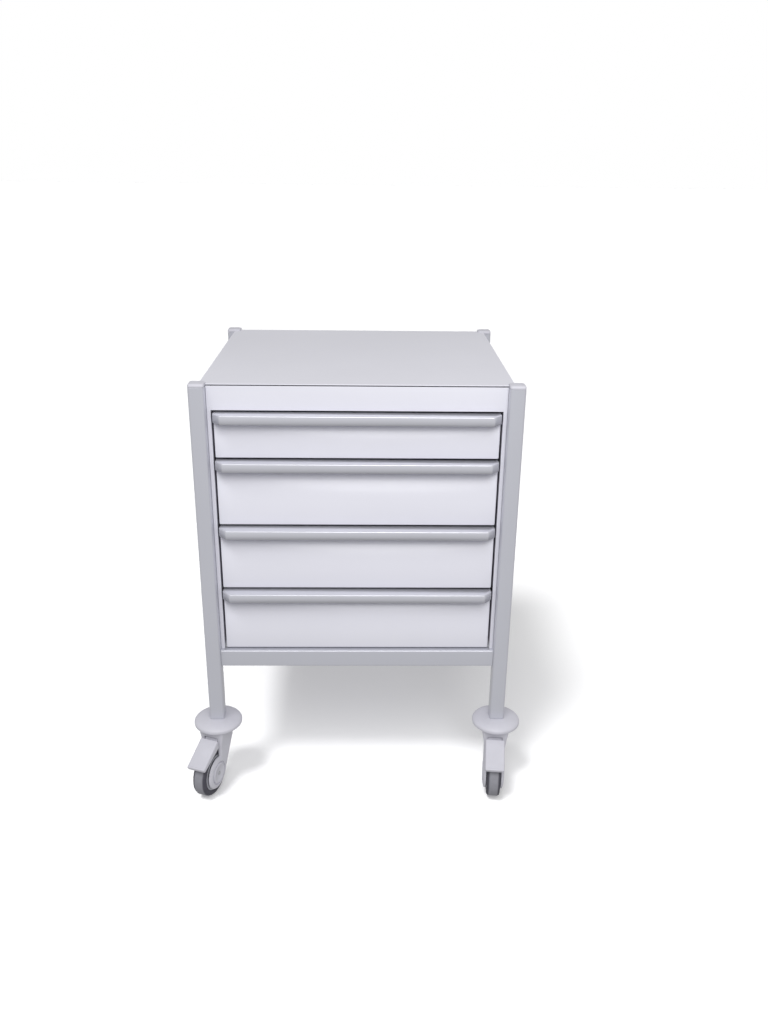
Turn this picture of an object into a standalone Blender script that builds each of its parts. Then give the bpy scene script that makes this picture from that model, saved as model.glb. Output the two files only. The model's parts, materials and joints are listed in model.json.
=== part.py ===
"""Mobile ward cabinet: a post frame on four casters with a worktop and four drawers.

Metres, +Z up, floor at z = 0, origin under the middle of the four posts, front towards -Y.
"""

import math

import bmesh
import bpy
from mathutils import Matrix, Vector

OBJECT_NAME = "ward_cabinet"
HELPER_NAME = "cutters"

# Driving dimensions
WIDTH = 0.620
DEPTH = 0.560
POST = 0.030
POST_RADIUS = 0.0045
POST_WALL = 0.002
POST_BOTTOM = 0.1585
POST_TOP = 0.871
WORKTOP_TOP = 0.875
CAP_TOP = 0.878
CAP_EDGE = 0.0032
PLUG_LENGTH = 0.019
INSET = 0.0175
GAP = 0.0003
SHEET = 0.0015
FOLD = 0.002

# Worktop and panels
WORKTOP_SKIN = 0.002
PAN_DEPTH = 0.016
PAN_INSET = 0.003
FASCIA_BOTTOM = 0.8246
OPENING_HALF = 0.2725
RETURN_DEPTH = 0.012
UPRIGHT_LIP = 0.028
BOTTOM_FRONT_GAP = 0.006
BOTTOM_REAR_GAP = 0.002

# Bottom rails
RAIL_TOP = 0.3185
RAIL_HEIGHT = 0.0365
RAIL_DEPTH = 0.020
RAIL_SETBACK = 0.009
RAIL_RADIUS = 0.003

# Drawers
DRAWER_HALF = 0.2685
DRAWER_GAP = 0.0036
DRAWER_TOP = 0.821
SHALLOW_PITCH = 0.0929
DEEP_PITCH = 0.1367
FRONT_DEPTH = 0.018
LIP_PROJECTION = 0.026
LIP_STRAIGHT = 0.009
LIP_MITRE = 0.015
LIP_HEIGHT = 0.0175
FRONT_FOLD = 0.0018
LIP_FOLD = 0.0012
TRAY_HALF = 0.2597
TRAY_DEPTH = 0.470
TRAY_SHEET = 0.001
TRAY_CLEARANCE = 0.012
RUNNER_SETBACK = 0.002
RUNNER_LENGTH = 0.450
RUNNER_HEIGHT = 0.035
RUNNER_WALL = 0.0012
SLIDE_HEIGHT = 0.030
SLIDE_DEPTH = 0.0095

# Casters, measured from the swivel axis (forward = towards the wheel) and from the floor
WHEEL_RADIUS = 0.050
WHEEL_WIDTH = 0.028
TYRE_INNER = 0.038
TYRE_SHOULDER = 0.004
RIM_INSET = 0.001
RIM_WALL = (0.006, 0.008)
WEB_HALF = 0.004
HUB_RADIUS = 0.012
TRAIL = 0.048
CASTER_TOP = 0.1425
FORK_SLAB = 0.016
FORK_HALF = 0.0275
FORK_REAR = 0.0235
FORK_FRONT = 0.0355
FORK_CORNER = 0.010
FORK_HEEL = 0.108
SHOULDER_RISE = 0.010
TAPER_DROP = 0.020
LEG_INNER = 0.0155
LEG_OUTER = 0.023
LEG_RADIUS = 0.038
LEG_MARGIN = 0.0005
AXLE_RADIUS = 0.004
NECK_RADIUS = 0.005
HEAD_RADIUS = 0.009
HEAD_HEIGHT = 0.004
EXPANDER_LENGTH = 0.040
EXPANDER_GAP = 0.0005
DISC_RADIUS = 0.050
DISC_RIM = (0.1420, 0.1525)
DISC_TOP = 0.1582
DISC_WALL = 0.006
DISC_SEAT = 0.020
DISC_BOSS = 0.012
DISC_BOSS_LOW = 0.1447
DISC_CROWN = (0.036, 0.1568)
DISC_EDGE = 0.0015
DISC_LIP = 0.001
DISC_RIM_WALL = 0.004

# Brake pedal, hinged inside the front of the fork
PEDAL_AXIS = (0.029, 0.119)
PEDAL_SLOPE = math.radians(27.2)
PEDAL_SPAN = (0.0105, 0.0783)
PEDAL_RISE = 0.0120
PEDAL_HALF = 0.020
PEDAL_SKIRT = 0.007
PEDAL_SHEET = 0.0025
PEDAL_FOLD = 0.0022
TONGUE_START = 0.003
TONGUE_REACH = 0.006
TONGUE_SINK = 0.002
BARREL_RADIUS = 0.0045
BARREL_HALF = 0.0142
BARREL_PROUD = 0.0001
TRUNNION_RADIUS = 0.0025
TRUNNION_HALF = 0.0200

# Each corner: side (-1 left), end (-1 front), swivel angle in degrees about +Z, has a brake.
# At 0 degrees the wheel is in front of its swivel axis.
CASTERS = {
    "front_left": (-1, -1, -20.0, True),
    "front_right": (1, -1, -6.5, True),
    "rear_left": (-1, 1, 168.0, False),
    "rear_right": (1, 1, -156.0, False),
}

HALF_X = WIDTH / 2
HALF_Y = DEPTH / 2
PANEL_X = HALF_X - INSET
PANEL_Y = HALF_Y - INSET
POST_X = HALF_X - POST / 2
POST_Y = HALF_Y - POST / 2
INNER_X = HALF_X - POST - GAP
INNER_Y = HALF_Y - POST - GAP
MERGE = 0.00002
CLEARANCE = 0.004  # how far a cutter stands clear of what it leaves alone
JOIN = 0.001  # how far pieces of one body run into each other
CUTTER_DEPTH = 0.4


def clear_scene():
    for obj in list(bpy.data.objects):
        bpy.data.objects.remove(obj, do_unlink=True)


def make_collection(name):
    collection = bpy.data.collections.new(name)
    bpy.context.scene.collection.children.link(collection)


def make_material(name, colour, roughness, metallic=0.0):
    material = bpy.data.materials.new(name)
    material.use_nodes = True
    shader = material.node_tree.nodes["Principled BSDF"]
    shader.inputs["Base Color"].default_value = (*colour, 1.0)
    shader.inputs["Roughness"].default_value = roughness
    shader.inputs["Metallic"].default_value = metallic


def add_part(name, mesh, material, parent=None, location=(0, 0, 0)):
    obj = bpy.data.objects.new(name, mesh)
    mesh.materials.clear()
    mesh.materials.append(bpy.data.materials[material])
    bpy.data.collections[OBJECT_NAME].objects.link(obj)
    obj.parent = parent
    obj.location = location
    return obj


def add_helper(name, mesh, parent=None, location=(0, 0, 0)):
    obj = bpy.data.objects.new(name, mesh)
    bpy.data.collections[HELPER_NAME].objects.link(obj)
    obj.parent = parent
    obj.location = location
    obj.hide_render = True
    obj.display_type = "WIRE"
    return obj


def add_empty(name, location=(0, 0, 0), turn=0.0, parent=None):
    empty = bpy.data.objects.new(name, None)
    bpy.data.collections[OBJECT_NAME].objects.link(empty)
    empty.location = location
    empty.rotation_euler = (0.0, 0.0, turn)
    empty.parent = parent
    return empty


def finish_mesh(name, bm, smooth_angle=None):
    mesh = bpy.data.meshes.new(name)
    bm.to_mesh(mesh)
    bm.free()
    if smooth_angle is not None:
        mesh.shade_smooth()
        mesh.set_sharp_from_angle(angle=math.radians(smooth_angle))
    return mesh


def box_bmesh(low, high):
    """A closed box between two corners."""
    low = Vector(low)
    high = Vector(high)
    size = high - low
    bm = bmesh.new()
    place = Matrix.Translation((low + high) / 2) @ Matrix.Diagonal((*size, 1.0))
    bmesh.ops.create_cube(bm, size=1.0, matrix=place)
    return bm


def box_mesh(name, low, high):
    return finish_mesh(name, box_bmesh(low, high))


def open_box_mesh(name, low, high, open_sides):
    """A box without the faces whose outward normals are listed."""
    bm = box_bmesh(low, high)
    bm.normal_update()
    gone = [f for f in bm.faces if any(f.normal.dot(Vector(side)) > 0.9 for side in open_sides)]
    bmesh.ops.delete(bm, geom=gone, context="FACES")
    return finish_mesh(name, bm)


def cylinder_mesh(name, radius, low, high, axis="Z", segments=32):
    """A closed cylinder from low to high along an axis through the origin."""
    bm = bmesh.new()
    turn = {"X": Matrix.Rotation(math.pi / 2, 4, "Y"), "Z": Matrix.Identity(4)}[axis]
    place = turn @ Matrix.Translation((0, 0, (low + high) / 2))
    bmesh.ops.create_cone(
        bm, cap_ends=True, segments=segments, radius1=radius, radius2=radius, depth=high - low, matrix=place
    )
    return finish_mesh(name, bm, 40)


def arc(centre, radius, start, end, steps):
    """Points on an arc, angles in degrees."""
    points = []
    for i in range(steps + 1):
        angle = math.radians(start + (end - start) * i / steps)
        points.append((centre[0] + radius * math.cos(angle), centre[1] + radius * math.sin(angle)))
    return points


def rounded_rectangle(half_x, half_y, radius, steps):
    points = []
    for sx, sy, start in ((1, 1, 0), (-1, 1, 90), (-1, -1, 180), (1, -1, 270)):
        centre = (sx * (half_x - radius), sy * (half_y - radius))
        points += arc(centre, radius, start, start + 90, steps)
    return points


def outline_mesh(name, outlines, thickness, smooth_angle=None):
    """A flat plate of the given thickness centred on z = 0; inner outlines are holes."""
    curve = bpy.data.curves.new(name, "CURVE")
    curve.dimensions = "2D"
    curve.fill_mode = "BOTH"
    curve.extrude = thickness / 2
    for points in outlines:
        spline = curve.splines.new("POLY")
        spline.points.add(len(points) - 1)
        for point, (x, y) in zip(spline.points, points):
            point.co = (x, y, 0.0, 1.0)
        spline.use_cyclic_u = True
    source = bpy.data.objects.new(name, curve)
    bpy.context.scene.collection.objects.link(source)
    depsgraph = bpy.context.evaluated_depsgraph_get()
    filled = bpy.data.meshes.new_from_object(source.evaluated_get(depsgraph))
    bpy.data.objects.remove(source, do_unlink=True)
    bm = bmesh.new()
    bm.from_mesh(filled)
    bpy.data.meshes.remove(filled)
    bmesh.ops.remove_doubles(bm, verts=bm.verts, dist=MERGE)
    if len(outlines) == 1:
        flat = math.radians(0.1)
        bmesh.ops.dissolve_limit(bm, angle_limit=flat, verts=bm.verts, edges=bm.edges)
    bmesh.ops.recalc_face_normals(bm, faces=bm.faces)
    return finish_mesh(name, bm, smooth_angle)


def add_sheet(obj, thickness, fold=0.0, fold_segments=2):
    """Gives an open surface its thickness, inward, after rounding its folds."""
    if fold > 0:
        bevel = obj.modifiers.new("Folds", "BEVEL")
        bevel.width = fold
        bevel.segments = fold_segments
        bevel.limit_method = "ANGLE"
        bevel.angle_limit = math.radians(30)
    solidify = obj.modifiers.new("Sheet", "SOLIDIFY")
    solidify.thickness = thickness
    solidify.offset = -1
    solidify.use_even_offset = True


def add_boolean(obj, other, operation, solver="EXACT"):
    boolean = obj.modifiers.new(other.name, "BOOLEAN")
    boolean.operation = operation
    boolean.solver = solver
    boolean.object = other


def turned_part(name, profile, material, parent=None, location=(0, 0, 0), axis="Z", steps=48):
    """A ring turned from a closed (radius, height) outline that runs down its outer side."""
    bm = bmesh.new()
    if axis == "X":
        verts = [bm.verts.new((height, 0.0, radius)) for radius, height in profile]
    else:
        verts = [bm.verts.new((radius, 0.0, height)) for radius, height in profile]
    for first, second in zip(verts, verts[1:] + verts[:1]):
        bm.edges.new((first, second))
    obj = add_part(name, finish_mesh(name, bm), material, parent, location)
    screw = obj.modifiers.new("Turn", "SCREW")
    screw.axis = axis
    screw.steps = steps
    screw.render_steps = steps
    screw.use_merge_vertices = True
    screw.merge_threshold = MERGE
    screw.use_smooth_shade = True
    return obj


def corners():
    """Name, side and end of each corner."""
    return [(name, side, end) for name, (side, end, angle, braked) in CASTERS.items()]


# ---------------------------------------------------------------- frame


def build_posts():
    outer = rounded_rectangle(POST / 2, POST / 2, POST_RADIUS, 5)
    inner_half = POST / 2 - POST_WALL
    inner = rounded_rectangle(inner_half, inner_half, POST_RADIUS - POST_WALL, 1)
    tube = outline_mesh("post_tube", (outer, inner), POST_TOP - POST_BOTTOM, 40)
    middle = (POST_TOP + POST_BOTTOM) / 2
    for corner, sx, sy in corners():
        add_part("post_" + corner, tube, "post", location=(sx * POST_X, sy * POST_Y, middle))


def build_post_caps():
    """A flange with a rounded rim over a plug that sits inside the tube."""
    low = POST_TOP + GAP
    bm = box_bmesh((-POST / 2, -POST / 2, low), (POST / 2, POST / 2, CAP_TOP))
    upright = [e for e in bm.edges if abs(e.verts[0].co.z - e.verts[1].co.z) > MERGE]
    bmesh.ops.bevel(bm, geom=upright, offset=POST_RADIUS, segments=4, profile=0.5, affect="EDGES")
    rim = [e for e in bm.edges if min(v.co.z for v in e.verts) > CAP_TOP - MERGE]
    bmesh.ops.bevel(bm, geom=rim, offset=CAP_EDGE, segments=3, profile=0.5, affect="EDGES")
    cap = finish_mesh("post_cap", bm, 50)
    plug_half = POST / 2 - POST_WALL - GAP
    plug_outline = rounded_rectangle(plug_half, plug_half, POST_RADIUS - POST_WALL, 1)
    plug = outline_mesh("plug", (plug_outline,), PLUG_LENGTH)
    plug.transform(Matrix.Translation((0, 0, low + JOIN - PLUG_LENGTH / 2)))
    for corner, sx, sy in corners():
        place = (sx * POST_X, sy * POST_Y, 0.0)
        obj = add_part("post_cap_" + corner, cap, "plastic", location=place)
        add_boolean(obj, add_helper("plug_" + corner, plug, location=place), "UNION")


def build_rails():
    outer = rounded_rectangle(RAIL_DEPTH / 2, RAIL_HEIGHT / 2, RAIL_RADIUS, 4)
    inner_x = RAIL_DEPTH / 2 - SHEET
    inner_y = RAIL_HEIGHT / 2 - SHEET
    inner = rounded_rectangle(inner_x, inner_y, RAIL_RADIUS - SHEET, 1)
    middle = RAIL_TOP - RAIL_HEIGHT / 2
    stand_up = Matrix.Rotation(math.pi / 2, 4, "X")
    turn = Matrix.Rotation(math.pi / 2, 4, "Z")
    side_rail = outline_mesh("side_rail", (outer, inner), 2 * INNER_Y, 40)
    side_rail.transform(stand_up)
    cross_rail = outline_mesh("cross_rail", (outer, inner), 2 * INNER_X, 40)
    cross_rail.transform(turn @ stand_up)
    offset_x = HALF_X - RAIL_SETBACK - RAIL_DEPTH / 2
    offset_y = HALF_Y - RAIL_SETBACK - RAIL_DEPTH / 2
    add_part("rail_front", cross_rail, "post", location=(0, -offset_y, middle))
    add_part("rail_rear", cross_rail, "post", location=(0, offset_y, middle))
    add_part("rail_left", side_rail, "post", location=(-offset_x, 0, middle))
    add_part("rail_right", side_rail, "post", location=(offset_x, 0, middle))


# ---------------------------------------------------------------- casing


def notched_outline():
    """The worktop's outline, cut back around the posts."""
    quarter = [(PANEL_X, INNER_Y), (INNER_X, INNER_Y), (INNER_X, PANEL_Y)]
    points = []
    for sx, sy in ((1, 1), (-1, 1), (-1, -1), (1, -1)):
        corner = [(sx * px, sy * py) for px, py in quarter]
        points += corner if sx * sy > 0 else corner[::-1]
    return points


def build_worktop():
    """A flat skin on a folded stiffening pan, open below, that drops between the panels."""
    skin = outline_mesh("worktop", (notched_outline(),), WORKTOP_SKIN)
    middle = WORKTOP_TOP - WORKTOP_SKIN / 2
    top = add_part("worktop", skin, "panel", location=(0, 0, middle))
    half_x = OPENING_HALF - SHEET
    half_y = PANEL_Y - PAN_INSET
    low = WORKTOP_TOP - WORKTOP_SKIN - PAN_DEPTH
    pan = open_box_mesh("pan", (-half_x, -half_y, low), (half_x, half_y, middle), ((0, 0, -1),))
    helper = add_helper("worktop_pan", pan)
    add_sheet(helper, SHEET)
    add_boolean(top, helper, "UNION", "MANIFOLD")


def lies_level(edge, height):
    return all(abs(vert.co.z - height) < MERGE for vert in edge.verts)


def build_front_frame():
    """Fascia and side flanges in one sheet: an upside-down U with bent-back edges."""
    xs = (-INNER_X, -OPENING_HALF, OPENING_HALF, INNER_X)
    zs = (RAIL_TOP + GAP, FASCIA_BOTTOM, POST_TOP)
    bm = bmesh.new()
    grid = [[bm.verts.new((x, -PANEL_Y, z)) for x in xs] for z in zs]
    for row in range(2):
        for column in range(3):
            if (row, column) == (0, 1):
                continue
            a, b = grid[row][column], grid[row][column + 1]
            c, d = grid[row + 1][column + 1], grid[row + 1][column]
            bm.faces.new((a, b, c, d))
    bm.normal_update()
    straight_cut = (zs[0], zs[2])
    bent = [e for e in bm.edges if e.is_boundary and not any(lies_level(e, z) for z in straight_cut)]
    grown = bmesh.ops.extrude_edge_only(bm, edges=bent)["geom"]
    moved = [v for v in grown if isinstance(v, bmesh.types.BMVert)]
    bmesh.ops.translate(bm, verts=moved, vec=(0, RETURN_DEPTH, 0))
    bmesh.ops.recalc_face_normals(bm, faces=bm.faces)
    if next(f for f in bm.faces if abs(f.normal.y) > 0.9).normal.y > 0:
        bmesh.ops.reverse_faces(bm, faces=bm.faces)
    frame = add_part("front_frame", finish_mesh("front_frame", bm), "panel")
    add_sheet(frame, SHEET)


def build_side_panels():
    """A folded panel between two posts; its turned-in lips carry the drawer runners."""
    lip_x = OPENING_HALF + SHEET
    path = [
        (lip_x, -INNER_Y + UPRIGHT_LIP),
        (lip_x, -INNER_Y),
        (PANEL_X, -INNER_Y),
        (PANEL_X, INNER_Y),
        (lip_x, INNER_Y),
        (lip_x, INNER_Y - UPRIGHT_LIP),
    ]
    low = RAIL_TOP + GAP
    high = WORKTOP_TOP - WORKTOP_SKIN - GAP
    for side, sign in (("left", -1), ("right", 1)):
        bm = bmesh.new()
        verts = [bm.verts.new((sign * x, y, low)) for x, y in path]
        edges = [bm.edges.new(pair) for pair in zip(verts, verts[1:])]
        grown = bmesh.ops.extrude_edge_only(bm, edges=edges)["geom"]
        moved = [v for v in grown if isinstance(v, bmesh.types.BMVert)]
        bmesh.ops.translate(bm, verts=moved, vec=(0, 0, high - low))
        bm.normal_update()
        web = next(f for f in bm.faces if abs(f.normal.x) > 0.9 and f.calc_area() > 0.1)
        if web.normal.x * sign < 0:
            bmesh.ops.reverse_faces(bm, faces=bm.faces)
        panel = add_part("side_panel_" + side, finish_mesh("side_panel_" + side, bm), "panel")
        add_sheet(panel, SHEET, fold=FOLD)


def build_back_panel():
    low = (-INNER_X, PANEL_Y - RETURN_DEPTH, RAIL_TOP + GAP)
    high = (INNER_X, PANEL_Y, WORKTOP_TOP - WORKTOP_SKIN - GAP)
    mesh = open_box_mesh("back_panel", low, high, ((0, -1, 0), (0, 0, 1), (0, 0, -1)))
    add_sheet(add_part("back_panel", mesh, "panel"), SHEET, fold=FOLD)


def build_bottom_panel():
    low = (-OPENING_HALF, -INNER_Y + BOTTOM_FRONT_GAP, RAIL_TOP - RETURN_DEPTH)
    high = (OPENING_HALF, INNER_Y - BOTTOM_REAR_GAP, RAIL_TOP + GAP + SHEET)
    mesh = open_box_mesh("bottom_panel", low, high, ((0, 0, -1),))
    add_sheet(add_part("bottom_panel", mesh, "panel"), SHEET, fold=FOLD)


# ---------------------------------------------------------------- drawers


def drawer_levels():
    """Bottom and top height of each drawer front, from the top drawer down."""
    levels = []
    top = DRAWER_TOP
    for pitch in (SHALLOW_PITCH, DEEP_PITCH, DEEP_PITCH, DEEP_PITCH):
        levels.append((top - pitch + DRAWER_GAP, top))
        top -= pitch
    return levels


def lip_mesh(name, top):
    """The handle: a flanged lip across the whole top of a front, mitred at both ends."""
    back = -PANEL_Y + FRONT_DEPTH - GAP
    front = -PANEL_Y - LIP_PROJECTION
    half = DRAWER_HALF + GAP
    straight = -PANEL_Y - LIP_STRAIGHT
    outline = [
        (half, back),
        (-half, back),
        (-half, straight),
        (-half + LIP_MITRE, front),
        (half - LIP_MITRE, front),
        (half, straight),
    ]
    mesh = outline_mesh(name, (outline,), LIP_HEIGHT)
    mesh.transform(Matrix.Translation((0, 0, top - LIP_HEIGHT / 2)))
    bm = bmesh.new()
    bm.from_mesh(mesh)
    bm.normal_update()
    gone = [f for f in bm.faces if f.normal.z < -0.9 or f.normal.y > 0.9]
    bmesh.ops.delete(bm, geom=gone, context="FACES")
    bm.to_mesh(mesh)
    bm.free()
    return mesh


def build_drawer(number, low, high):
    name = f"drawer_{number}"
    origin = add_empty(name, location=(0, -PANEL_Y, (low + high) / 2))
    offset = -origin.location

    front_low = (-DRAWER_HALF, -PANEL_Y, low)
    front_high = (DRAWER_HALF, -PANEL_Y + FRONT_DEPTH, high - SHEET / 2)
    shell = open_box_mesh(name + "_front", front_low, front_high, ((0, 1, 0), (0, 0, 1)))
    front = add_part(name + "_front", shell, "panel", origin, offset)
    add_sheet(front, SHEET, fold=FRONT_FOLD)
    lip = add_helper(name + "_lip", lip_mesh(name + "_lip", high), origin, offset)
    add_sheet(lip, SHEET, fold=LIP_FOLD)
    add_boolean(front, lip, "UNION", "MANIFOLD")

    tray_front = -PANEL_Y + FRONT_DEPTH + GAP
    tray_low = (-TRAY_HALF, tray_front, low + TRAY_CLEARANCE)
    tray_high = (TRAY_HALF, tray_front + TRAY_DEPTH, high - 2 * TRAY_CLEARANCE)
    pan = open_box_mesh(name + "_tray", tray_low, tray_high, ((0, 0, 1),))
    tray = add_part(name + "_tray", pan, "panel", origin, offset)
    add_sheet(tray, TRAY_SHEET)

    middle = (tray_low[2] + tray_high[2]) / 2
    runner_front = tray_front + RUNNER_SETBACK
    slide_out = TRAY_HALF + SLIDE_DEPTH
    slide_in = TRAY_HALF - TRAY_SHEET / 2
    slide_half = SLIDE_HEIGHT / 2
    for side, sign in (("left", -1), ("right", 1)):
        xs = sorted((sign * slide_in, sign * slide_out))
        slide = box_mesh(
            f"{name}_slide_{side}",
            (xs[0], runner_front, middle - slide_half),
            (xs[1], runner_front + RUNNER_LENGTH, middle + slide_half),
        )
        add_boolean(tray, add_helper(f"{name}_slide_{side}", slide, origin, offset), "UNION")

        xs = sorted((sign * (TRAY_HALF + GAP), sign * (OPENING_HALF - GAP)))
        channel = open_box_mesh(
            f"runner_{number}_{side}",
            (xs[0], runner_front, middle - RUNNER_HEIGHT / 2),
            (xs[1], runner_front + RUNNER_LENGTH, middle + RUNNER_HEIGHT / 2),
            ((-sign, 0, 0), (0, -1, 0), (0, 1, 0)),
        )
        add_sheet(add_part(f"runner_{number}_{side}", channel, "zinc"), RUNNER_WALL)


# ---------------------------------------------------------------- casters


def tangent_angle(point, centre, radius):
    """Angle on a circle, in degrees, of the far tangent from a point up and behind it."""
    away = Vector(point) - Vector(centre)
    return math.degrees(math.atan2(away.y, away.x) + math.acos(radius / away.length))


def fork_side_outline():
    """The fork seen from its side, as (forward, height)."""
    centre = (TRAIL, WHEEL_RADIUS)
    rear = (-FORK_REAR, FORK_HEEL)
    start = math.degrees(math.acos((FORK_FRONT - TRAIL) / LEG_RADIUS))
    end = tangent_angle(rear, centre, LEG_RADIUS) - 360
    around = arc(centre, LEG_RADIUS, start, end, 18)
    behind = -FORK_REAR - CLEARANCE
    return [(behind, CASTER_TOP), (FORK_FRONT, CASTER_TOP), *around, rear, (behind, rear[1])]


def fork_front_outline():
    """The fork seen from its front, as (sideways, height): a slab with two tapering legs."""
    half = [
        (FORK_HALF + CLEARANCE, CASTER_TOP + CLEARANCE),
        (FORK_HALF + CLEARANCE, CASTER_TOP - FORK_SLAB + SHOULDER_RISE),
        (LEG_OUTER, CASTER_TOP - FORK_SLAB - TAPER_DROP),
        (LEG_OUTER, 0.0),
        (LEG_INNER, 0.0),
        (LEG_INNER, CASTER_TOP - FORK_SLAB),
    ]
    return half + [(-x, z) for x, z in reversed(half)]


def fork_plan_outline():
    """The fork seen from above, as (sideways, forward), with room for its legs in front."""
    front_radius = FORK_HALF - LEG_OUTER
    ahead = TRAIL + LEG_RADIUS + CLEARANCE
    half = arc((FORK_HALF - FORK_CORNER, -FORK_REAR + FORK_CORNER), FORK_CORNER, -90, 0, 6)
    half += arc((LEG_OUTER, FORK_FRONT - front_radius), front_radius, 0, 80, 4)
    half.append((LEG_OUTER + LEG_MARGIN, ahead))
    return half + [(-x, y) for x, y in reversed(half)]


def fork_mesh():
    """Side outline standing in the local YZ plane; forward is -Y."""
    mesh = outline_mesh("fork_side", (fork_side_outline(),), 2 * (FORK_HALF + CLEARANCE))
    stand = Matrix(((0, 0, 1, 0), (-1, 0, 0, 0), (0, 1, 0, 0), (0, 0, 0, 1)))
    mesh.transform(stand)
    flip = bmesh.new()
    flip.from_mesh(mesh)
    bmesh.ops.recalc_face_normals(flip, faces=flip.faces)
    flip.to_mesh(mesh)
    flip.free()
    return mesh


def build_fork(name, swivel, braked):
    fork = add_part("fork_" + name, fork_mesh(), "plastic", swivel)

    front = outline_mesh("fork_front", (fork_front_outline(),), CUTTER_DEPTH)
    front.transform(Matrix.Rotation(math.pi / 2, 4, "X"))
    add_boolean(fork, add_helper("fork_front_" + name, front, swivel), "INTERSECT", "MANIFOLD")

    plan = outline_mesh("fork_plan", (fork_plan_outline(),), CUTTER_DEPTH)
    plan.transform(Matrix.Rotation(math.pi, 4, "X"))
    add_boolean(fork, add_helper("fork_plan_" + name, plan, swivel), "INTERSECT", "MANIFOLD")

    hole_low = CASTER_TOP - FORK_SLAB - CLEARANCE
    neck = cylinder_mesh("neck_hole", NECK_RADIUS + GAP, hole_low, CASTER_TOP + CLEARANCE)
    add_boolean(fork, add_helper("neck_hole_" + name, neck, swivel), "DIFFERENCE", "MANIFOLD")

    reach = LEG_OUTER + CLEARANCE
    axle = cylinder_mesh("axle_hole", AXLE_RADIUS + GAP, -reach, reach, "X", 20)
    axle_helper = add_helper("axle_hole_" + name, axle, swivel, (0, -TRAIL, WHEEL_RADIUS))
    add_boolean(fork, axle_helper, "DIFFERENCE", "MANIFOLD")

    if braked:
        half = TRUNNION_HALF + GAP
        socket = cylinder_mesh("trunnion_hole", TRUNNION_RADIUS + GAP, -half, half, "X", 20)
        place = (0, -PEDAL_AXIS[0], PEDAL_AXIS[1])
        helper = add_helper("trunnion_hole_" + name, socket, swivel, place)
        add_boolean(fork, helper, "DIFFERENCE", "MANIFOLD")


def build_wheel(name, swivel):
    place = (0, -TRAIL, WHEEL_RADIUS)
    half = WHEEL_WIDTH / 2
    hub_half = LEG_INNER - GAP
    bore = AXLE_RADIUS + GAP
    rim = half - RIM_INSET
    ledge, well = (TYRE_INNER - wall for wall in RIM_WALL)
    core = [
        (TYRE_INNER - GAP, rim),
        (TYRE_INNER - GAP, -rim),
        (ledge, -rim),
        (well, -WEB_HALF),
        (HUB_RADIUS, -WEB_HALF),
        (HUB_RADIUS, -hub_half),
        (bore, -hub_half),
        (bore, hub_half),
        (HUB_RADIUS, hub_half),
        (HUB_RADIUS, WEB_HALF),
        (well, WEB_HALF),
        (ledge, rim),
    ]
    turned_part("wheel_core_" + name, core, "plastic", swivel, place, "X", 28)

    centre = (half - TYRE_SHOULDER, WHEEL_RADIUS - TYRE_SHOULDER)
    top = [(radius, z) for z, radius in arc(centre, TYRE_SHOULDER, 0, 90, 2)]
    bottom = [(radius, -z) for radius, z in reversed(top)]
    ring = [(TYRE_INNER, -half), (TYRE_INNER, half)]
    turned_part("tyre_" + name, top + bottom + ring, "rubber", swivel, place, "X", 32)

    length = LEG_OUTER - GAP
    axle = cylinder_mesh("axle_" + name, AXLE_RADIUS, -length, length, "X", 20)
    add_part("axle_" + name, axle, "zinc", swivel, place)


def build_pedal(name, swivel):
    """A bent pedal on a barrel between the legs, with a trunnion in each leg."""
    place = (0, -PEDAL_AXIS[0], PEDAL_AXIS[1])
    start, end = PEDAL_SPAN
    slope = Matrix.Rotation(PEDAL_SLOPE, 4, "X")
    low = (-PEDAL_HALF, -end, PEDAL_RISE - PEDAL_SKIRT)
    high = (PEDAL_HALF, -start, PEDAL_RISE)
    plate = open_box_mesh("pedal_" + name, low, high, ((0, 0, -1), (0, 1, 0)))
    plate.transform(slope)
    pedal = add_part("pedal_" + name, plate, "plastic", swivel, place)
    add_sheet(pedal, PEDAL_SHEET, fold=PEDAL_FOLD, fold_segments=3)

    tongue_low = (-BARREL_HALF, -start - TONGUE_REACH, -TONGUE_SINK)
    tongue_high = (BARREL_HALF, -TONGUE_START, PEDAL_RISE - PEDAL_SHEET / 2)
    tongue = box_mesh("tongue", tongue_low, tongue_high)
    tongue.transform(slope)
    add_boolean(pedal, add_helper("tongue_" + name, tongue, swivel, place), "UNION")
    barrel_half = BARREL_HALF + BARREL_PROUD
    barrel = cylinder_mesh("barrel", BARREL_RADIUS, -barrel_half, barrel_half, "X", 24)
    add_boolean(pedal, add_helper("barrel_" + name, barrel, swivel, place), "UNION")
    trunnion = cylinder_mesh("trunnion", TRUNNION_RADIUS, -TRUNNION_HALF, TRUNNION_HALF, "X", 20)
    add_boolean(pedal, add_helper("trunnion_" + name, trunnion, swivel, place), "UNION")


def build_bumper_disc(name, place):
    """A shallow moulded dome that guards the caster, with a flat seat for the post."""
    rim_low, rim_high = DISC_RIM
    bore = NECK_RADIUS + GAP
    under = DISC_TOP - DISC_WALL
    profile = [
        (DISC_RADIUS - DISC_EDGE, rim_high),
        (DISC_RADIUS, rim_high - DISC_EDGE),
        (DISC_RADIUS, rim_low + DISC_LIP),
        (DISC_RADIUS - DISC_LIP, rim_low),
        (DISC_RADIUS - DISC_RIM_WALL, rim_low),
        (DISC_SEAT, under),
        (DISC_BOSS, under),
        (DISC_BOSS, DISC_BOSS_LOW),
        (bore, DISC_BOSS_LOW),
        (bore, DISC_TOP),
        (DISC_SEAT, DISC_TOP),
        DISC_CROWN,
    ]
    turned_part("bumper_disc_" + name, profile, "plastic", location=place, steps=32)


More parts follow.
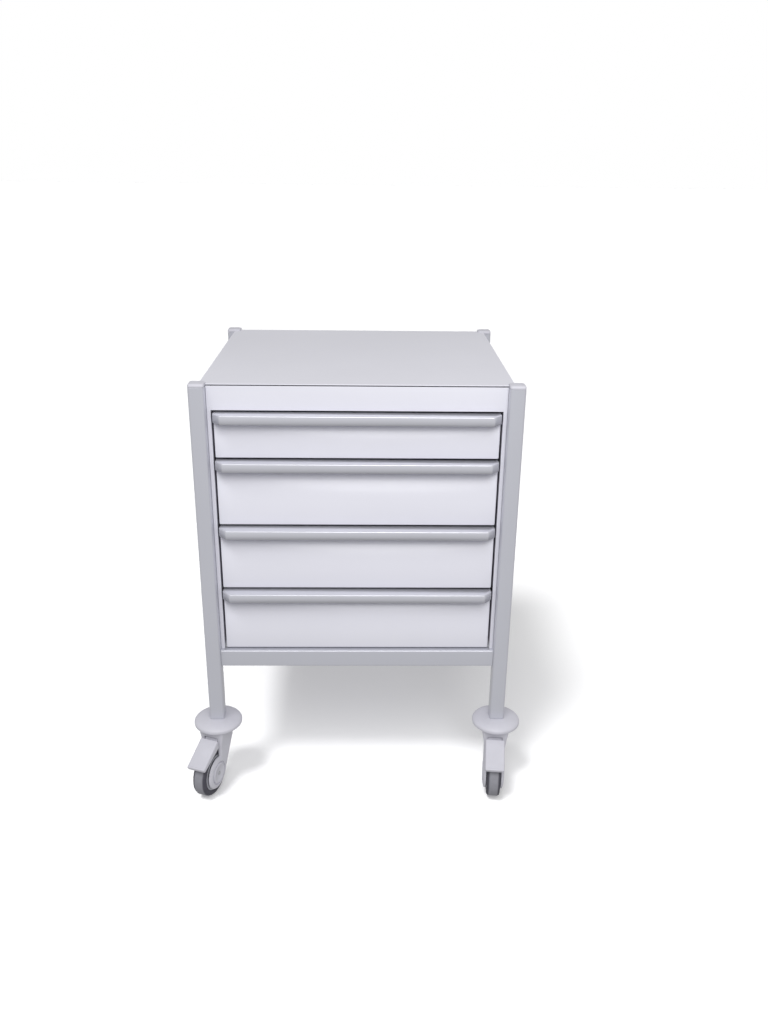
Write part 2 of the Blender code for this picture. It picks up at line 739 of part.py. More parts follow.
def build_stem(name, place):
    """Fixed in the post by its expander; its neck and head carry the swivelling fork."""
    head_high = CASTER_TOP - FORK_SLAB - GAP
    head_low = head_high - HEAD_HEIGHT
    seat = POST_BOTTOM + GAP
    radius = POST / 2 - POST_WALL - EXPANDER_GAP
    neck = cylinder_mesh("stem_" + name, NECK_RADIUS, head_low + JOIN, seat + JOIN, segments=20)
    stem = add_part("stem_" + name, neck, "zinc", location=place)
    head = cylinder_mesh("head", HEAD_RADIUS, head_low, head_high, segments=20)
    add_boolean(stem, add_helper("head_" + name, head, location=place), "UNION")
    expander = cylinder_mesh("expander", radius, seat, seat + EXPANDER_LENGTH, segments=20)
    add_boolean(stem, add_helper("expander_" + name, expander, location=place), "UNION")


def build_casters():
    for name, (side, end, angle, braked) in CASTERS.items():
        place = (side * POST_X, end * POST_Y, 0.0)
        build_bumper_disc(name, place)
        build_stem(name, place)
        swivel = add_empty("caster_" + name, place, math.radians(angle))
        build_fork(name, swivel, braked)
        build_wheel(name, swivel)
        if braked:
            build_pedal(name, swivel)


def build_materials():
    make_material("panel", (0.80, 0.80, 0.84), 0.35)
    make_material("post", (0.60, 0.61, 0.65), 0.38)
    make_material("plastic", (0.62, 0.62, 0.66), 0.50)
    make_material("rubber", (0.22, 0.22, 0.24), 0.80)
    make_material("zinc", (0.62, 0.63, 0.65), 0.35, 1.0)


def main():
    clear_scene()
    make_collection(OBJECT_NAME)
    make_collection(HELPER_NAME)
    build_materials()
    build_posts()
    build_post_caps()
    build_rails()
    build_worktop()
    build_front_frame()
    build_side_panels()
    build_back_panel()
    build_bottom_panel()
    for number, (low, high) in enumerate(drawer_levels(), start=1):
        build_drawer(number, low, high)
    build_casters()


main()
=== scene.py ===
"""Looks of the mobile ward cabinet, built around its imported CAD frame.

Metres, +Z up, floor at z = 0, front towards -Y. Places come from the frame's boxes and joints.
"""

import json
import math

import bmesh
import bpy
from mathutils import Matrix, Vector


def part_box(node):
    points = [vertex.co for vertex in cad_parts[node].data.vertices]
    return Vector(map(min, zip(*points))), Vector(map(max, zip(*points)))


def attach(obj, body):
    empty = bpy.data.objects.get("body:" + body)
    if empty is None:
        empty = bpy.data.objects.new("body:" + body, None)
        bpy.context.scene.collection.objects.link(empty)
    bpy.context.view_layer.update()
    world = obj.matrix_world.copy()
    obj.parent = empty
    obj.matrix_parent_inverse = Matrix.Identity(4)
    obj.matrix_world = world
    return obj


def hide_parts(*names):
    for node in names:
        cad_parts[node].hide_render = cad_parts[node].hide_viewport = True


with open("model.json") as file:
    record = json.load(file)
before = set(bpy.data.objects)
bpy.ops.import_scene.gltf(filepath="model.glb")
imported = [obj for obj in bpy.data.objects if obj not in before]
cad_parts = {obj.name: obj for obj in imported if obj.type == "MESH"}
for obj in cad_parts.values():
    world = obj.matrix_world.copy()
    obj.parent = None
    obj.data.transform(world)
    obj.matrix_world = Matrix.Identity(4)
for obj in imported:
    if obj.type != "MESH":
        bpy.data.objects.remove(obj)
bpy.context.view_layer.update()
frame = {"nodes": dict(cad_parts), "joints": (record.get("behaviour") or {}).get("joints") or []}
JOINTS = {joint["name"]: joint for joint in frame["joints"]}

CORNERS = ("front_left", "front_right", "rear_left", "rear_right")
BRAKED = ("front_left", "front_right")
DRAWERS = (1, 2, 3, 4)
SIDES = {"left": -1, "right": 1}
GAP = 0.0003
SHEET = 0.0015
SHARP_ANGLE = 35
FOLD_ANGLE = 30
AXIS_RADIUS = 0.0001  # keeps a turned outline just off its axis

# Frame and casing
POST_RADIUS = 0.0045
POST_EASE = 0.0006
CAP_RADIUS = 0.0050
CAP_LEAST_RADIUS = 0.0012
CAP_SHOULDER = 0.0030
RAIL_RADIUS = 0.0032
WELD_RISE = 0.0008
WELD_LENGTH = 0.0018
SKIN = 0.0020
PAN_DEPTH = 0.0160
PAN_SETBACK = 0.0120
PAN_SIDE_GAP = 0.0020
RIVET_EDGE = 0.010
RIVETS_IN_ROW = 6

# Drawers
PANEL_FOLD = 0.0022
LIP_FOLD = 0.0020
LIP_STRAIGHT = 0.0090
LIP_MITRE = 0.0150
LIP_HEIGHT = 0.0175
BALLS_IN_ROW = 18
BALL_RADIUS = 0.0009
BALL_EDGE = 0.0033
CAGE_OFFSET = 0.0046

# Casters, in each caster's own frame
DISC_SEAT = 0.0205
DISC_WAIST = 0.0055
DISC_WALL = 0.0050
DISC_BOSS_LOW = 0.1447
CROWN_TOP = 0.1425
CROWN_LOW = 0.1265
LEG_IN = 0.0155
LEG_OUT = 0.0230
LEG_RADIUS = 0.0345
FORK_FRONT = 0.0355
FORK_REAR = 0.0235
FORK_HALF = 0.0275
FORK_CORNER = 0.010
HEEL = 0.106
NECK_BORE = 0.0053
AXLE_BORE = 0.0043
AXLE_RADIUS = 0.0040
WHEEL_HALF = 0.0140
CORE_HALF = 0.0130
HUB_HALF = 0.0152
WEB_HALF = 0.0040
SPOKES = 8
PEDAL_HALF = 0.020
PEDAL_SLOPE = math.radians(27.2)
PEDAL_RISE = 0.0120
PEDAL_END = 0.0783
PEDAL_SHEET = 0.0025
PEDAL_FOLD = 0.0030
TIP_BEAD = 0.0026
TIP_RISE = 0.0008
BARREL_RADIUS = 0.0045
BARREL_HALF = 0.0142
PIN_RADIUS = 0.0025

# Camera
CAMERA_PLACE = (0.0155, -1.9207, 1.2881)
CAMERA_RIGHT = (0.99979, -0.01730, 0.01095)
CAMERA_UP = (-0.00372, 0.37247, 0.92803)
CAMERA_BACK = (-0.02013, -0.92788, 0.37233)
CAMERA_LENS = 32.35

# Light
AMBIENT = 0.50
FLOOR_GLOW = 0.09
KEY_STRENGTH = 0.50
KEY_SOFTNESS = math.radians(22)
KEY_SIDE = math.radians(37)
KEY_HEIGHT = math.radians(60)
FLOOR_KEY_STRENGTH = 1.5
FLOOR_KEY_SOFTNESS = math.radians(13)
FLOOR_KEY_HEIGHT = math.radians(62)
BOX_PLACE = (0.20, -1.90, 1.95)
BOX_TARGET = (0.0, -0.25, 0.60)
BOX_SIZE = 1.4
BOX_POWER = 23.0


# ---------------------------------------------------------------- mesh helpers


def finish_mesh(name, bm, smooth_angle=SHARP_ANGLE):
    bmesh.ops.recalc_face_normals(bm, faces=bm.faces)
    mesh = to_mesh(name, bm)
    mesh.shade_smooth()
    mesh.set_sharp_from_angle(angle=math.radians(smooth_angle))
    return mesh


def to_mesh(name, bm):
    mesh = bpy.data.meshes.new(name)
    bm.to_mesh(mesh)
    bm.free()
    return mesh


def add_piece(name, mesh, material, body, replaced=(), place=None):
    """A new piece at its place, riding on a body and standing for CAD nodes."""
    obj = bpy.data.objects.new(name, mesh)
    mesh.materials.clear()
    mesh.materials.append(material)
    bpy.context.scene.collection.objects.link(obj)
    if place is not None:
        obj.matrix_world = place
    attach(obj, body)
    if replaced:
        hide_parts(*replaced)
    return obj


def add_bevel(obj, width, segments=3, angle=SHARP_ANGLE):
    bevel = obj.modifiers.new("Edges", "BEVEL")
    bevel.width = width
    bevel.segments = segments
    bevel.limit_method = "ANGLE"
    bevel.angle_limit = math.radians(angle)


def add_sheet(obj, thickness, fold, segments=5):
    """Rounds an open surface's folds, then gives it its thickness inward."""
    add_bevel(obj, fold, segments, FOLD_ANGLE)
    solidify = obj.modifiers.new("Sheet", "SOLIDIFY")
    solidify.thickness = thickness
    solidify.offset = -1
    solidify.use_even_offset = True


def dress(node, material, width, segments):
    """Keeps a CAD node's shape, softens its edges and gives it a material."""
    obj = frame["nodes"][node]
    obj.data.materials.clear()
    obj.data.materials.append(material)
    weld = obj.modifiers.new("Weld", "WELD")
    weld.merge_threshold = 0.00001
    add_bevel(obj, width, segments)
    for polygon in obj.data.polygons:
        polygon.use_smooth = True
    split = obj.modifiers.new("Sharp", "EDGE_SPLIT")
    split.split_angle = math.radians(SHARP_ANGLE)
    split.use_edge_sharp = False


def arc(centre, radius, start, end, steps):
    points = []
    for i in range(steps + 1):
        angle = math.radians(start + (end - start) * i / steps)
        points.append((centre[0] + radius * math.cos(angle), centre[1] + radius * math.sin(angle)))
    return points


def rounded_rectangle(half_x, half_y, radius, steps=8):
    points = []
    for sx, sy, start in ((1, 1, 0), (-1, 1, 90), (-1, -1, 180), (1, -1, 270)):
        centre = (sx * (half_x - radius), sy * (half_y - radius))
        points += arc(centre, radius, start, start + 90, steps)
    return points


def loft(name, rings, smooth_angle=SHARP_ANGLE, closed=False):
    """Skins rings of equal length, with a cap at both ends unless they join up."""
    bm = bmesh.new()
    loops = [[bm.verts.new(point) for point in ring] for ring in rings]
    pairs = list(zip(loops, loops[1:]))
    if closed:
        pairs.append((loops[-1], loops[0]))
    for first, second in pairs:
        for i in range(len(first)):
            j = (i + 1) % len(first)
            bm.faces.new((first[i], first[j], second[j], second[i]))
    if not closed:
        bm.faces.new(loops[0])
        bm.faces.new(loops[-1])
    return finish_mesh(name, bm, smooth_angle)


def turned(name, profile, steps=96, axis="Z"):
    """A closed (radius, height) outline turned about an axis."""
    rings = []
    for i in range(steps):
        angle = 2 * math.pi * i / steps
        c, s = math.cos(angle), math.sin(angle)
        if axis == "Z":
            rings.append([(r * c, r * s, h) for r, h in profile])
        else:
            rings.append([(h, r * c, r * s) for r, h in profile])
    return loft(name, rings, smooth_angle=30, closed=True)


def rod(name, radius, half, steps):
    """A closed cylinder along X, centred on the origin."""
    profile = ((AXIS_RADIUS, -half), (radius, -half), (radius, half), (AXIS_RADIUS, half))
    return turned(name, profile, steps, "X")


def rounded_profile(corners, steps=4):
    """Rounds each (radius, height, corner radius) of a closed outline."""
    points = []
    count = len(corners)
    for i, (x, y, radius) in enumerate(corners):
        here = Vector((x, y))
        if radius <= 0:
            points.append((x, y))
            continue
        before = Vector(corners[i - 1][:2]) - here
        after = Vector(corners[(i + 1) % count][:2]) - here
        half = before.angle(after) / 2
        reach = min(radius / math.tan(half), 0.49 * before.length, 0.49 * after.length)
        start = here + before.normalized() * reach
        end = here + after.normalized() * reach
        for k in range(steps + 1):
            t = k / steps
            points.append(tuple(start * (1 - t) ** 2 + here * 2 * t * (1 - t) + end * t * t))
    return points


def box_bmesh(low, high):
    low, high = Vector(low), Vector(high)
    bm = bmesh.new()
    place = Matrix.Translation((low + high) / 2) @ Matrix.Diagonal((*(high - low), 1.0))
    bmesh.ops.create_cube(bm, size=1.0, matrix=place)
    return bm


def open_box(name, low, high, open_sides):
    """A box without the faces whose outward normals are listed."""
    bm = box_bmesh(low, high)
    bm.normal_update()
    gone = [f for f in bm.faces if any(f.normal.dot(Vector(side)) > 0.9 for side in open_sides)]
    bmesh.ops.delete(bm, geom=gone, context="FACES")
    mesh = to_mesh(name, bm)
    mesh.shade_smooth()
    return mesh


def combine(name, base, joined=(), cut=(), smooth_angle=SHARP_ANGLE):
    """One closed mesh: the base with some meshes joined to it and others cut away."""
    objects = []
    for mesh in (base, *joined, *cut):
        obj = bpy.data.objects.new(name, mesh)
        bpy.context.scene.collection.objects.link(obj)
        objects.append(obj)
    for i, other in enumerate(objects[1:]):
        boolean = objects[0].modifiers.new(f"Step {i}", "BOOLEAN")
        boolean.operation = "UNION" if i < len(joined) else "DIFFERENCE"
        boolean.solver = "EXACT"
        boolean.object = other
    depsgraph = bpy.context.evaluated_depsgraph_get()
    result = bpy.data.meshes.new_from_object(objects[0].evaluated_get(depsgraph))
    for obj in objects:
        mesh = obj.data
        bpy.data.objects.remove(obj, do_unlink=True)
        bpy.data.meshes.remove(mesh)
    result.name = name
    result.shade_smooth()
    result.set_sharp_from_angle(angle=math.radians(smooth_angle))
    return result


# ---------------------------------------------------------------- materials


class Nodes:
    """A material's node tree, with short calls for the nodes used here."""

    def __init__(self, name):
        self.material = bpy.data.materials.new(name)
        self.material.use_nodes = True
        self.tree = self.material.node_tree
        self.shader = self.tree.nodes["Principled BSDF"]
        self.where = self.add("ShaderNodeTexCoord").outputs["Object"]

    def add(self, kind, **values):
        node = self.tree.nodes.new(kind)
        for key, value in values.items():
            setattr(node, key, value)
        return node

    def link(self, source, target):
        self.tree.links.new(source, target)

    def noise(self, scale, detail=3.0, roughness=0.5, stretch=(1, 1, 1)):
        mapping = self.add("ShaderNodeMapping")
        mapping.inputs["Scale"].default_value = stretch
        self.link(self.where, mapping.inputs["Vector"])
        noise = self.add("ShaderNodeTexNoise")
        noise.inputs["Scale"].default_value = scale
        noise.inputs["Detail"].default_value = detail
        noise.inputs["Roughness"].default_value = roughness
        self.link(mapping.outputs["Vector"], noise.inputs["Vector"])
        return noise.outputs["Fac"]

    def span(self, source, low, high, start=0.3, end=0.7):
        """Maps a noise to a range of values."""
        node = self.add("ShaderNodeMapRange")
        node.inputs["From Min"].default_value = start
        node.inputs["From Max"].default_value = end
        node.inputs["To Min"].default_value = low
        node.inputs["To Max"].default_value = high
        self.link(source, node.inputs["Value"])
        return node.outputs["Result"]

    def ramp(self, source, low, high, start=0.3, end=0.7):
        """Maps a noise to a range of colours."""
        node = self.add("ShaderNodeValToRGB")
        node.color_ramp.elements[0].position = start
        node.color_ramp.elements[0].color = (*low, 1.0)
        node.color_ramp.elements[1].position = end
        node.color_ramp.elements[1].color = (*high, 1.0)
        self.link(source, node.inputs["Fac"])
        return node.outputs["Color"]

    def bump(self, source, strength, distance, below=None):
        node = self.add("ShaderNodeBump")
        node.inputs["Strength"].default_value = strength
        node.inputs["Distance"].default_value = distance
        self.link(source, node.inputs["Height"])
        if below is not None:
            self.link(below, node.inputs["Normal"])
        return node.outputs["Normal"]

    def set(self, **values):
        for key, value in values.items():
            self.shader.inputs[key.replace("_", " ")].default_value = value

    def wire(self, **sources):
        for key, source in sources.items():
            self.link(source, self.shader.inputs[key.replace("_", " ")])


def shade(colour, factor):
    return tuple(min(1.0, channel * factor) for channel in colour)


def powder_coat(name, colour, roughness, peel, metallic=0.0):
    """Baked powder paint: orange peel, a finer grain on it, faint clouding and handling marks."""
    nodes = Nodes(name)
    cloud = nodes.noise(3.0, 4.0)
    scuff = nodes.noise(38.0, 6.0, 0.7, (1.0, 1.0, 0.35))
    nodes.wire(Base_Color=nodes.ramp(cloud, shade(colour, 0.975), shade(colour, 1.015)))
    nodes.wire(Roughness=nodes.span(scuff, roughness - 0.02, roughness + 0.03))
    wave = nodes.bump(nodes.noise(620.0, 2.0), peel, 0.0004)
    grain = nodes.bump(nodes.noise(2600.0, 2.0), peel * 0.5, 0.0001, wave)
    nodes.wire(Normal=grain)
    nodes.set(Coat_Weight=0.25, Coat_Roughness=0.16, IOR=1.5, Metallic=metallic)
    return nodes.material


def moulded_plastic(name, colour, roughness):
    """Injection-moulded plastic with a spark-eroded grain and slight flow clouding."""
    nodes = Nodes(name)
    cloud = nodes.noise(26.0, 3.0)
    dust = nodes.noise(210.0, 5.0, 0.65)
    nodes.wire(Base_Color=nodes.ramp(cloud, shade(colour, 0.96), shade(colour, 1.03)))
    nodes.wire(Roughness=nodes.span(dust, roughness - 0.06, roughness + 0.08))
    grain = nodes.bump(nodes.noise(2100.0, 3.0, 0.6), 0.16, 0.00015)
    nodes.wire(Normal=grain)
    nodes.set(IOR=1.49)
    return nodes.material


def rubber_with_painted_shade(name, side, tread):
    """Grey rubber with a dusty random tone: the walls and shoulders are painted dark as painted
    shade, and the tread band keeps the paler grey.
    """
    nodes = Nodes(name)
    dust = nodes.noise(95.0, 6.0, 0.7)
    axes = nodes.add("ShaderNodeSeparateXYZ")
    nodes.link(nodes.where, axes.inputs["Vector"])
    away = nodes.add("ShaderNodeMath", operation="ABSOLUTE")
    nodes.link(axes.outputs["X"], away.inputs[0])
    # Painted shade: away from the middle band of the tread the colour turns to the dark wall
    # colour.
    mix = nodes.add("ShaderNodeMix", data_type="RGBA")
    nodes.link(nodes.span(away.outputs["Value"], 1.0, 0.0, 0.0078, 0.0108), mix.inputs["Factor"])
    nodes.link(nodes.ramp(dust, shade(side, 0.86), shade(side, 1.22)), mix.inputs["A"])
    nodes.link(nodes.ramp(dust, shade(tread, 0.90), shade(tread, 1.10)), mix.inputs["B"])
    nodes.wire(Base_Color=mix.outputs["Result"])
    nodes.wire(Roughness=nodes.span(nodes.noise(240.0, 4.0), 0.62, 0.84))
    pores = nodes.bump(nodes.noise(1500.0, 4.0, 0.7), 0.30, 0.0002)
    nodes.wire(Normal=pores)
    nodes.set(IOR=1.52)
    return nodes.material


def zinc_plate(name, colour):
    """Zinc-plated steel: drawn grain along the part and a cloudy passivation."""
    nodes = Nodes(name)
    cloud = nodes.noise(42.0, 4.0, 0.6)
    drawn = nodes.noise(900.0, 3.0, 0.6, (1.0, 0.04, 1.0))
    nodes.wire(Base_Color=nodes.ramp(cloud, shade(colour, 0.88), shade(colour, 1.06)))
    nodes.wire(Roughness=nodes.span(drawn, 0.24, 0.42))
    nodes.wire(Normal=nodes.bump(drawn, 0.12, 0.0001))
    nodes.set(Metallic=1.0)
    return nodes.material


PANEL = powder_coat("panel_paint", (0.800, 0.798, 0.874), 0.36, 0.07)
POST = powder_coat("post_paint", (0.595, 0.602, 0.662), 0.30, 0.025, 0.25)
LIP = powder_coat("handle_paint", (0.680, 0.684, 0.747), 0.24, 0.015, 0.30)
GREY_PLASTIC = moulded_plastic("grey_plastic", (0.660, 0.655, 0.720), 0.46)
CORE_PLASTIC = moulded_plastic("core_plastic", (0.470, 0.475, 0.520), 0.52)
# The first colour is painted shade on the walls and shoulders, the second is the tread's own grey.
RUBBER = rubber_with_painted_shade("grey_rubber", (0.066, 0.064, 0.084), (0.300, 0.300, 0.335))
ZINC = zinc_plate("zinc_plate", (0.610, 0.620, 0.650))


# ---------------------------------------------------------------- frame


def box_middle(node):
    low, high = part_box(node)
    return (low + high) / 2, high - low


def build_posts():
    """Square tubes with rounded corners and a small burr-free edge at both ends."""
    for corner in CORNERS:
        middle, size = box_middle("post_" + corner)
        half = size.x / 2
        rings = []
        for z, inset in ((-1, POST_EASE), (-1, 0.0), (1, 0.0), (1, POST_EASE)):
            height = z * (size.z / 2 - POST_EASE + inset)
            outline = rounded_rectangle(half - inset, half - inset, POST_RADIUS - inset)
            rings.append([(x, y, height) for x, y in outline])
        mesh = loft("post_tube_" + corner, rings)
        place = Matrix.Translation(middle)
        add_piece("post_tube_" + corner, mesh, POST, "frame", ("post_" + corner,), place)


def build_caps():
    """Moulded caps with a crowned top and a shadow step above the tube."""
    for corner in CORNERS:
        node = "post_cap_" + corner
        tube_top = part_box("post_" + corner)[1].z
        low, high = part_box(node)
        centre = (low + high) / 2
        half = (high.x - low.x) / 2
        rise = high.z - tube_top
        steps = 7
        rings = [(0.0010, 0.0), (0.0002, 0.0003), (0.0, 0.0010), (0.0, rise * 0.50)]
        for i in range(1, steps + 1):
            angle = math.radians(90 * i / steps)
            inset = CAP_SHOULDER * (1 - math.cos(angle))
            rings.append((inset, rise * (0.50 + 0.42 * math.sin(angle))))
        rings += [(0.007, rise * 0.97), (0.0135, rise)]
        loops = []
        for inset, height in rings:
            side = half - inset
            radius = max(CAP_LEAST_RADIUS, min(CAP_RADIUS, side * 0.9) - inset * 0.3)
            outline = rounded_rectangle(side, side, radius)
            loops.append([(x, y, height) for x, y in outline])
        mesh = loft("cap_" + corner, loops, smooth_angle=60)
        place = Matrix.Translation((centre.x, centre.y, tube_top + GAP / 2))
        add_piece("cap_" + corner, mesh, GREY_PLASTIC, "frame", (node,), place)


def build_rails():
    """Rectangular tubes welded between the posts, with a small fillet bead at each end."""
    for side, along in (("front", "x"), ("rear", "x"), ("left", "y"), ("right", "y")):
        node = "rail_" + side
        middle, size = box_middle(node)
        length = size.x if along == "x" else size.y
        depth = size.y if along == "x" else size.x
        stops = (
            (-length / 2, WELD_RISE),
            (-length / 2 + WELD_LENGTH, 0.0),
            (length / 2 - WELD_LENGTH, 0.0),
            (length / 2, WELD_RISE),
        )
        rings = []
        for stop, grow in stops:
            outline = rounded_rectangle(depth / 2 + grow, size.z / 2 + grow, RAIL_RADIUS + grow)
            if along == "x":
                rings.append([(stop, x, z) for x, z in outline])
            else:
                rings.append([(x, stop, z) for x, z in outline])
        mesh = loft(node + "_tube", rings, smooth_angle=50)
        add_piece(node + "_tube", mesh, POST, "frame", (node,), Matrix.Translation(middle))


def build_worktop():
    """A flat skin with eased edges, over a folded pan set back behind a dark joint."""
    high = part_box("worktop")[1]
    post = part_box("post_rear_right")[0]
    inner = (post.x - GAP, post.y - GAP)
    quarter = [(high.x, inner[1]), inner, (inner[0], high.y)]
    outline = []
    for sx, sy in ((1, 1), (-1, 1), (-1, -1), (1, -1)):
        corner = [(sx * x, sy * y) for x, y in quarter]
        outline += corner if sx * sy > 0 else corner[::-1]
    bottom = high.z - SKIN
    skin = loft("skin", [[(x, y, z) for x, y in outline] for z in (bottom, high.z)])
    pan_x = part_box("bottom_panel")[1].x - PAN_SIDE_GAP
    pan_y = high.y - PAN_SETBACK
    low = bottom - PAN_DEPTH
    pan = to_mesh("pan", box_bmesh((-pan_x, -pan_y, low), (pan_x, pan_y, bottom + SKIN / 4)))
    hollow_x = pan_x - SHEET
    hollow_y = pan_y - SHEET
    hollow = box_bmesh((-hollow_x, -hollow_y, low - SHEET), (hollow_x, hollow_y, bottom))
    mesh = combine("worktop_skin", skin, (pan,), (to_mesh("hollow", hollow),))
    skin = add_piece("worktop_skin", mesh, PANEL, "frame", ("worktop",))
    add_bevel(skin, 0.0006)


def build_casing():
    for node in ("front_frame", "bottom_panel"):
        dress(node, PANEL, 0.0007, 3)
    for node in ("side_panel_left", "side_panel_right", "back_panel"):
        dress(node, PANEL, 0.0004, 2)


def build_rivets():
    """Blind rivets that hold the back panel's flanges, in two upright rows."""
    low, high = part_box("back_panel")
    outline = (
        (AXIS_RADIUS, 0.0, 0),
        (0.0033, 0.0, 0),
        (0.0031, 0.0009, 0.0006),
        (AXIS_RADIUS, 0.0013, 0),
    )
    profile = rounded_profile(outline)
    face_back = Matrix.Rotation(-math.pi / 2, 4, "X")
    start = low.z + RIVET_EDGE * 3
    span = high.z - low.z - RIVET_EDGE * 6
    joined = bmesh.new()
    for x in (low.x + RIVET_EDGE, high.x - RIVET_EDGE):
        for i in range(RIVETS_IN_ROW):
            z = start + span * i / (RIVETS_IN_ROW - 1)
            head = turned("rivet", profile, 24)
            head.transform(Matrix.Translation((x, high.y, z)) @ face_back)
            joined.from_mesh(head)
            bpy.data.meshes.remove(head)
    add_piece("back_rivets", finish_mesh("back_rivets", joined, 40), ZINC, "frame")


# ---------------------------------------------------------------- drawers


def build_drawer_front(number):
    """A folded pan with the full-width handle lip on its top edge."""
    name = f"drawer_{number}"
    low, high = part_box(name + "_front")
    tray_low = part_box(name + "_tray")[0]
    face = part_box("front_frame")[0].y
    half = high.x - GAP
    back = tray_low.y - GAP
    pan_high = (half, back, high.z - SHEET)
    pan = open_box(name + "_panel", (-half, face, low.z), pan_high, ((0, 1, 0), (0, 0, 1)))
    panel = add_piece(name + "_panel", pan, PANEL, name, (name + "_front",))
    add_sheet(panel, SHEET, PANEL_FOLD)

    outline = [
        (-half - GAP, back),
        (-half - GAP, face - LIP_STRAIGHT),
        (-half - GAP + LIP_MITRE, low.y),
        (half + GAP - LIP_MITRE, low.y),
        (half + GAP, face - LIP_STRAIGHT),
        (half + GAP, back),
    ]
    bm = bmesh.new()
    top = [bm.verts.new((x, y, high.z)) for x, y in outline]
    skirt = [bm.verts.new((x, y, high.z - LIP_HEIGHT)) for x, y in outline]
    bm.faces.new(top)
    for i in range(len(outline) - 1):
        bm.faces.new((top[i], top[i + 1], skirt[i + 1], skirt[i]))
    bmesh.ops.recalc_face_normals(bm, faces=bm.faces)
    if next(f for f in bm.faces if abs(f.normal.z) > 0.9).normal.z < 0:
        bmesh.ops.reverse_faces(bm, faces=bm.faces)
    mesh = to_mesh(name + "_handle", bm)
    mesh.shade_smooth()
    handle = add_piece(name + "_handle", mesh, LIP, name)
    add_sheet(handle, SHEET, LIP_FOLD)


def build_runners(number):
    """The fixed channel, and the row of balls in their cage inside it."""
    for side, sign in SIDES.items():
        node = f"runner_{number}_{side}"
        dress(node, ZINC, 0.0003, 2)
        low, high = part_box(node)
        length = high.y - low.y
        cage_x = sign * (abs(low.x + high.x) / 2 + CAGE_OFFSET)
        bm = bmesh.new()
        for row in (low.z + BALL_EDGE, high.z - BALL_EDGE):
            for i in range(BALLS_IN_ROW):
                y = low.y + length * (0.12 + 0.5 * i / (BALLS_IN_ROW - 1))
                bmesh.ops.create_uvsphere(
                    bm,
                    u_segments=12,
                    v_segments=8,
                    radius=BALL_RADIUS,
                    matrix=Matrix.Translation((cage_x, y, row)),
                )
        mesh = finish_mesh(f"balls_{number}_{side}", bm, 60)
        add_piece(f"balls_{number}_{side}", mesh, ZINC, "frame")


def build_drawers():
    for number in DRAWERS:
        build_drawer_front(number)
        dress(f"drawer_{number}_tray", PANEL, 0.0003, 2)
        build_runners(number)


# ---------------------------------------------------------------- casters


def caster_place(corner):
    """The caster's own frame: origin on the floor under its swivel, wheel towards -Y."""
    swivel = Vector(JOINTS["swivel_" + corner]["pos_m"])
    across = Vector(JOINTS["roll_" + corner]["axis"]).normalized()
    turn = math.atan2(across.y, across.x)
    return Matrix.Translation((swivel.x, swivel.y, 0.0)) @ Matrix.Rotation(turn, 4, "Z")


def wheel_trail(corner):
    swivel = Vector(JOINTS["swivel_" + corner]["pos_m"])
    wheel = Vector(JOINTS["roll_" + corner]["pos_m"])
    return (wheel - swivel).xy.length, wheel.z


def build_disc(corner):
    """A moulded guard: an elliptical dome from the post's seat down to a rounded rim."""
    node = "bumper_disc_" + corner
    low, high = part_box(node)
    radius = (high.x - low.x) / 2
    waist = low.z + DISC_WAIST
    steps = 14
    dome = []
    for i in range(steps + 1):
        angle = math.radians(90 * i / steps)
        out = DISC_SEAT + (radius - DISC_SEAT) * math.sin(angle)
        dome.append((out, waist + (high.z - waist) * math.cos(angle), 0))
    under = high.z - DISC_WALL
    profile = rounded_profile(
        (
            (NECK_BORE, high.z, 0),
            *dome,
            (radius - 0.0004, low.z + 0.0010, 0.0022),
            (radius - 0.0040, low.z, 0.0012),
            (radius - 0.0062, low.z + 0.0036, 0.0012),
            (DISC_SEAT + 0.012, under - 0.0020, 0.004),
            (DISC_SEAT, under, 0.0010),
            (0.0125, under, 0.0010),
            (0.0120, DISC_BOSS_LOW, 0.0006),
            (NECK_BORE, DISC_BOSS_LOW, 0),
        )
    )
    middle = (low + high) / 2
    place = Matrix.Translation((middle.x, middle.y, 0.0))
    mesh = turned("guard_" + corner, profile, 128)
    add_piece("guard_" + corner, mesh, GREY_PLASTIC, "frame", (node,), place)


